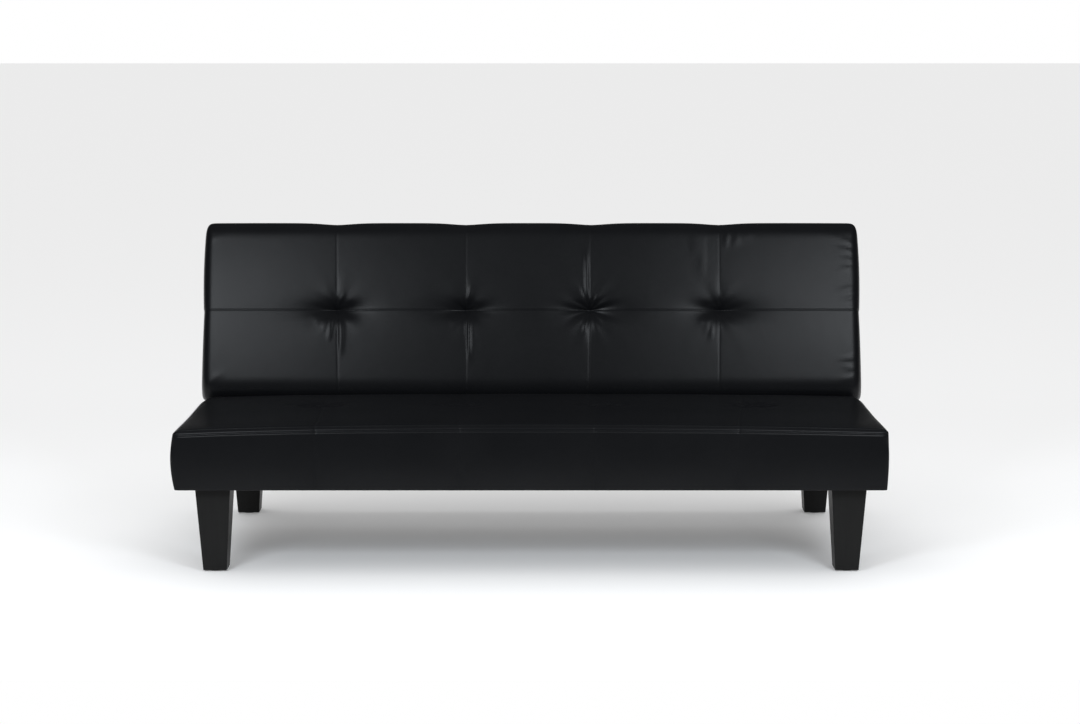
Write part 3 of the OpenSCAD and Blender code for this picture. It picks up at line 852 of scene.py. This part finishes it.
def joined(pieces, name):
    """Several objects joined into one mesh."""
    bpy.ops.object.select_all(action="DESELECT")
    for piece in pieces:
        piece.select_set(True)
    bpy.context.view_layer.objects.active = pieces[0]
    bpy.ops.object.join()
    pieces[0].name = pieces[0].data.name = name
    return pieces[0]


def copy_at(piece, matrix):
    """A copy with its own mesh, moved by a matrix."""
    twin = piece.copy()
    twin.data = piece.data.copy()
    bpy.context.scene.collection.objects.link(twin)
    twin.data.transform(matrix)
    return twin


def make_tie(length):
    """A tie from z = 0 down to a toggle at z = -length."""
    plies = []
    for side in (-1, 1):
        ply = new_rod("ply", (side * 0.0008, 0, -length / 2), 0.0009, length, 8)
        cut_along(ply, "z", 24)
        plies.append(ply)
    twine = joined(plies, "twine")
    add_modifier(twine, "SIMPLE_DEFORM", deform_method="TWIST", deform_axis="Z",
                 angle=math.radians(360 * 5))
    apply_modifiers(twine)
    toggle = new_rod("toggle", (0, 0, -length), 0.013, 0.004, 32)
    add_modifier(toggle, "BEVEL", width=0.0012, segments=3)
    apply_modifiers(toggle)
    return joined([twine, toggle], "tie")


def tie_set(name, places, top, bottom, turn, body, node):
    """Ties at (x, y) places, between two heights, turned into position."""
    one = make_tie(top - bottom)
    ties = [copy_at(one, Matrix.Translation((px, py, top))) for px, py in places]
    bpy.data.objects.remove(one)
    ties = joined(ties, name)
    ties.data.transform(turn)
    ties.data.materials.clear()
    ties.data.materials.append(finishes["twine"])
    only(ties)
    bpy.ops.object.shade_smooth_by_angle(angle=math.radians(40))
    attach(ties, body)
    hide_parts(node)
    print(name, "with", len(ties.data.polygons), "faces")


tie_set("back_ties", [(s, tuft_u) for s in back_seams], back_high.z - 0.028,
        back_ties[:, 2].min() + 0.002, turn_up, "back", "back_tuft_ties")
tie_set("seat_ties", [(s, tuft_y) for s in seat_tufts], seat_high.z - 0.016,
        seat_ties[:, 2].min() + 0.002, Matrix(), "base", "seat_tuft_ties")

# %% [markdown]
# ## Dust covers
# Thin black spunbond cloth is stretched over the underside of the seat and the rear of the back,
# and stapled all round. It is a grid, made half a millimetre thick. It sags a little between
# the staples and in the middle, and on the seat it is cut out around the front legs.

# %% Dust covers
STAPLE_PITCH = 0.07


def netted_sheet(name, level, lines_x, lines_y):
    """A flat grid at a level, cut at the given places along x and y."""
    bpy.ops.object.select_all(action="DESELECT")
    bpy.ops.mesh.primitive_grid_add(x_subdivisions=len(lines_x) - 1, y_subdivisions=len(lines_y) - 1,
                                    size=2, location=(0, 0, 0))
    piece = bpy.context.object
    piece.name = piece.data.name = name
    spots = points_of(piece)
    for i, lines in enumerate((lines_x, lines_y)):
        spots[:, i] = np.interp(spots[:, i], np.linspace(-1, 1, len(lines)), lines)
    spots[:, 2] = level
    set_points(piece, spots)
    return piece


def dust_cover(name, node, body, low, high, turn, cut_outs=()):
    """A stretched sheet in the place of a frame node's, with holes where things pass through."""
    lines_x = np.union1d(np.linspace(low.x, high.x, 97), [e for c in cut_outs for e in (c[0], c[2])])
    lines_y = np.union1d(np.linspace(low.y, high.y, 35), [e for c in cut_outs for e in (c[1], c[3])])
    piece = netted_sheet(name, high.z, lines_x, lines_y)
    spots = points_of(piece)
    x, y, _ = spots.T
    edge = np.minimum.reduce([x - low.x, high.x - x, y - low.y, high.y - y])
    between = np.cos((x + y) * 2 * math.pi / STAPLE_PITCH)
    spots[:, 2] -= 0.0012 * ramp(edge, 0.0, 0.12) + 0.0003 * between * ridge(edge - 0.008, 0.008)
    set_points(piece, spots)
    area = (high.x - low.x) * (high.y - low.y)
    only(piece)
    bpy.ops.object.mode_set(mode="EDIT")
    bpy.ops.mesh.select_mode(type="FACE")
    bpy.ops.mesh.select_all(action="DESELECT")
    mesh = bmesh.from_edit_mesh(piece.data)
    for face in mesh.faces:
        middle = face.calc_center_median()
        face.select_set(any(c[0] < middle.x < c[2] and c[1] < middle.y < c[3] for c in cut_outs))
    bmesh.update_edit_mesh(piece.data)
    if cut_outs:
        bpy.ops.mesh.delete(type="FACE")
        area -= sum((c[2] - c[0]) * (c[3] - c[1]) for c in cut_outs)
    bpy.ops.object.mode_set(mode="OBJECT")
    add_modifier(piece, "SOLIDIFY", thickness=0.0005, offset=-1.0)
    apply_modifiers(piece)
    bpy.ops.object.shade_smooth()
    piece.data.transform(turn)
    piece.data.materials.append(finishes["dust_cloth"])
    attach(piece, body)
    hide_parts(node)
    print(name, "area", round(area, 3), "square metres")


leg_low, leg_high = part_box("leg_front_left")
leg_half, gap = 0.0415, 0.004
leg_holes = [(side * (leg_high.x + leg_low.x) / 2 - leg_half - gap, leg_low.y - gap,
              side * (leg_high.x + leg_low.x) / 2 + leg_half + gap, leg_high.y + gap)
             for side in (-1, 1)]
sheet_low, sheet_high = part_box("seat_dust_cover")
dust_cover("seat_dust_sheet", "seat_dust_cover", "base", sheet_low, sheet_high, Matrix(),
           leg_holes)
sheet_low, sheet_high = box_lying_flat("back_dust_cover")
dust_cover("back_dust_sheet", "back_dust_cover", "back", sheet_low, sheet_high, turn_up)


# %% [markdown]
# ## Staples
# The dust covers are held by staples of flat wire. One staple is a thin bar whose ends are
# turned in, and the rest are copies along the hem.

# %% Staples
def make_staple():
    """A staple's crown, lying on z = 0 along x, with its legs going up."""
    staple = new_block("staple", (-0.005, -0.0006, -0.0006), (0.005, 0.0006, 0.0))
    cut_along(staple, "x", 6)
    spots = points_of(staple)
    spots[:, 2] += 0.0022 * (np.abs(spots[:, 0]) > 0.0045)
    set_points(staple, spots)
    return staple


def staple_hem(name, low, high, inset, z, turn, body):
    """Staples around a rectangle, about one pitch apart."""
    one = make_staple()
    placed = []
    for axis in (0, 1):
        start, stop = low[axis] + 0.03, high[axis] - 0.03
        quarter_turns = Matrix.Rotation(axis * math.pi / 2, 4, "Z")
        for at in np.linspace(start, stop, int((stop - start) / STAPLE_PITCH) + 1):
            for edge in (low[1 - axis] + inset, high[1 - axis] - inset):
                spot = (at, edge, z) if axis == 0 else (edge, at, z)
                placed.append(copy_at(one, Matrix.Translation(spot) @ quarter_turns))
    bpy.data.objects.remove(one)
    hem = joined(placed, name)
    hem.data.transform(turn)
    hem.data.materials.clear()
    hem.data.materials.append(finishes["zinc_steel"])
    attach(hem, body)
    print(name, "has", len(placed), "staples")


staple_hem("back_staples", sheet_low, sheet_high, 0.008, sheet_high.z - 0.0004, turn_up, "back")
sheet_low, sheet_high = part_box("seat_dust_cover")
staple_hem("seat_staples", sheet_low, sheet_high, 0.008, sheet_high.z - 0.0004, Matrix(), "base")

# %% [markdown]
# ## Stitches along the front
# A row of stitches runs just under the front seam. Each shows as a thread a few millimetres
# long that dips into the leather at both ends. The stitch is one small bar with pinched ends,
# and each copy is laid on the cover where a ray from the front meets it.

# %% Stitches
def make_stitch():
    """One thread's visible length, along x, with pinched ends."""
    corner = Vector((0.0016, 0.0004, 0.0004))
    stitch = new_block("stitch", -corner, corner)
    cut_along(stitch, "x", 3)
    spots = points_of(stitch)
    fat = 1 - (spots[:, 0] / 0.0016) ** 2
    spots[:, 1] = spots[:, 1] * (0.35 + 0.65 * fat) + 0.0003 * (1 - fat)
    spots[:, 2] *= 0.35 + 0.65 * fat
    set_points(stitch, spots)
    return stitch


def stitch_row(name, cushion, below, pitch, reach):
    """Stitches across the front, a given way under the seam."""
    one = make_stitch()
    laid = []
    for at in np.arange(-reach, reach, pitch):
        line_z = edge_seam_z + edge_lift(at / half_width) - below
        hit, spot, normal, _ = cushion.ray_cast((at, front_y - 0.2, line_z), (0, 1, 0))
        if hit:
            facing_out = normal.to_track_quat("-Y", "Z").to_matrix().to_4x4()
            laid.append(copy_at(one, Matrix.Translation(spot + normal * 0.0001) @ facing_out))
    bpy.data.objects.remove(one)
    row = joined(laid, name)
    row.data.materials.clear()
    row.data.materials.append(finishes["black_plastic"])
    only(row)
    bpy.ops.object.shade_smooth()
    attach(row, "base")
    print(name, "has", len(laid), "stitches")


stitch_row("front_stitches", seat_cushion, 0.005, 0.0052, half_width - 0.018)

# %% [markdown]
# ## Floor and light
# A white studio floor that reaches far behind the sofa. The camera sees it out to its clip
# distance of 60 m, where it ends in a faint line. In front it ends 85 cm from the sofa, where
# the studio is dim. Black leather mirrors what is in front of it, so this is what keeps the
# front band dark. The floor gives off a little light of its own, which keeps its shadows pale.

# %% Floor
FLOOR_SIZE = 400
FLOOR_AHEAD = 0.85
floor_middle = front_y - FLOOR_AHEAD + FLOOR_SIZE / 2
bpy.ops.object.select_all(action="DESELECT")
bpy.ops.mesh.primitive_plane_add(size=FLOOR_SIZE, location=(0, floor_middle, 0))
bpy.ops.object.transform_apply(location=True)
floor = bpy.context.object
floor.name = "floor"
floor_finish = Finish("floor_paint", (0.80, 0.80, 0.80), 0.8, specular=0.0)
floor_finish.set("Emission Color", (1, 1, 1, 1))
floor_finish.set("Emission Strength", 0.16)
floor.data.materials.append(floor_finish.material)


# %% [markdown]
# Two large soft boxes stand to the left and right in front. The outer panels mirror them and
# fade into the dark between them. A broad, weak sun stands for the light that a ceiling throws
# back, and mirrors leave it out. The studio around is white where the camera sees it and dim
# where the leather mirrors it.

# %% Lights
def soft_box(name, place, target, width, height, power):
    """A large area light at a place, facing a target; sizes in metres, power in watts."""
    data = bpy.data.lights.new(name, "AREA")
    data.shape = "RECTANGLE"
    data.size, data.size_y = width, height
    data.energy = power
    data.color = (0.90, 0.95, 1.0)
    lamp = bpy.data.objects.new(name, data)
    lamp.location = place
    lamp.rotation_euler = (Vector(target) - Vector(place)).to_track_quat("-Z", "Y").to_euler()
    bpy.context.scene.collection.objects.link(lamp)


for side, name in ((-1, "soft_box_left"), (1, "soft_box_right")):
    soft_box(name, (side * 1.55, -3.0, 1.93), (side * 0.7, 0.2, 0.6), 0.9, 0.95, 46)

sky = bpy.data.lights.new("ceiling_bounce", "SUN")
sky.energy = 2.5
sky.angle = math.radians(100)
ceiling = bpy.data.objects.new("ceiling_bounce", sky)
ceiling.visible_glossy = False
bpy.context.scene.collection.objects.link(ceiling)

studio = bpy.data.worlds.new("studio")
bpy.context.scene.world = studio
studio.use_nodes = True
air = studio.node_tree
seen = air.nodes.new("ShaderNodeLightPath")
span = air.nodes.new("ShaderNodeMapRange")
span.inputs["To Min"].default_value = 0.045
span.inputs["To Max"].default_value = 1.0
air.links.new(seen.outputs["Is Camera Ray"], span.inputs["Value"])
air.links.new(span.outputs["Result"], air.nodes["Background"].inputs["Strength"])
air.nodes["Background"].inputs["Color"].default_value = (1, 1, 1, 1)
bpy.context.scene.view_settings.view_transform = "Standard"
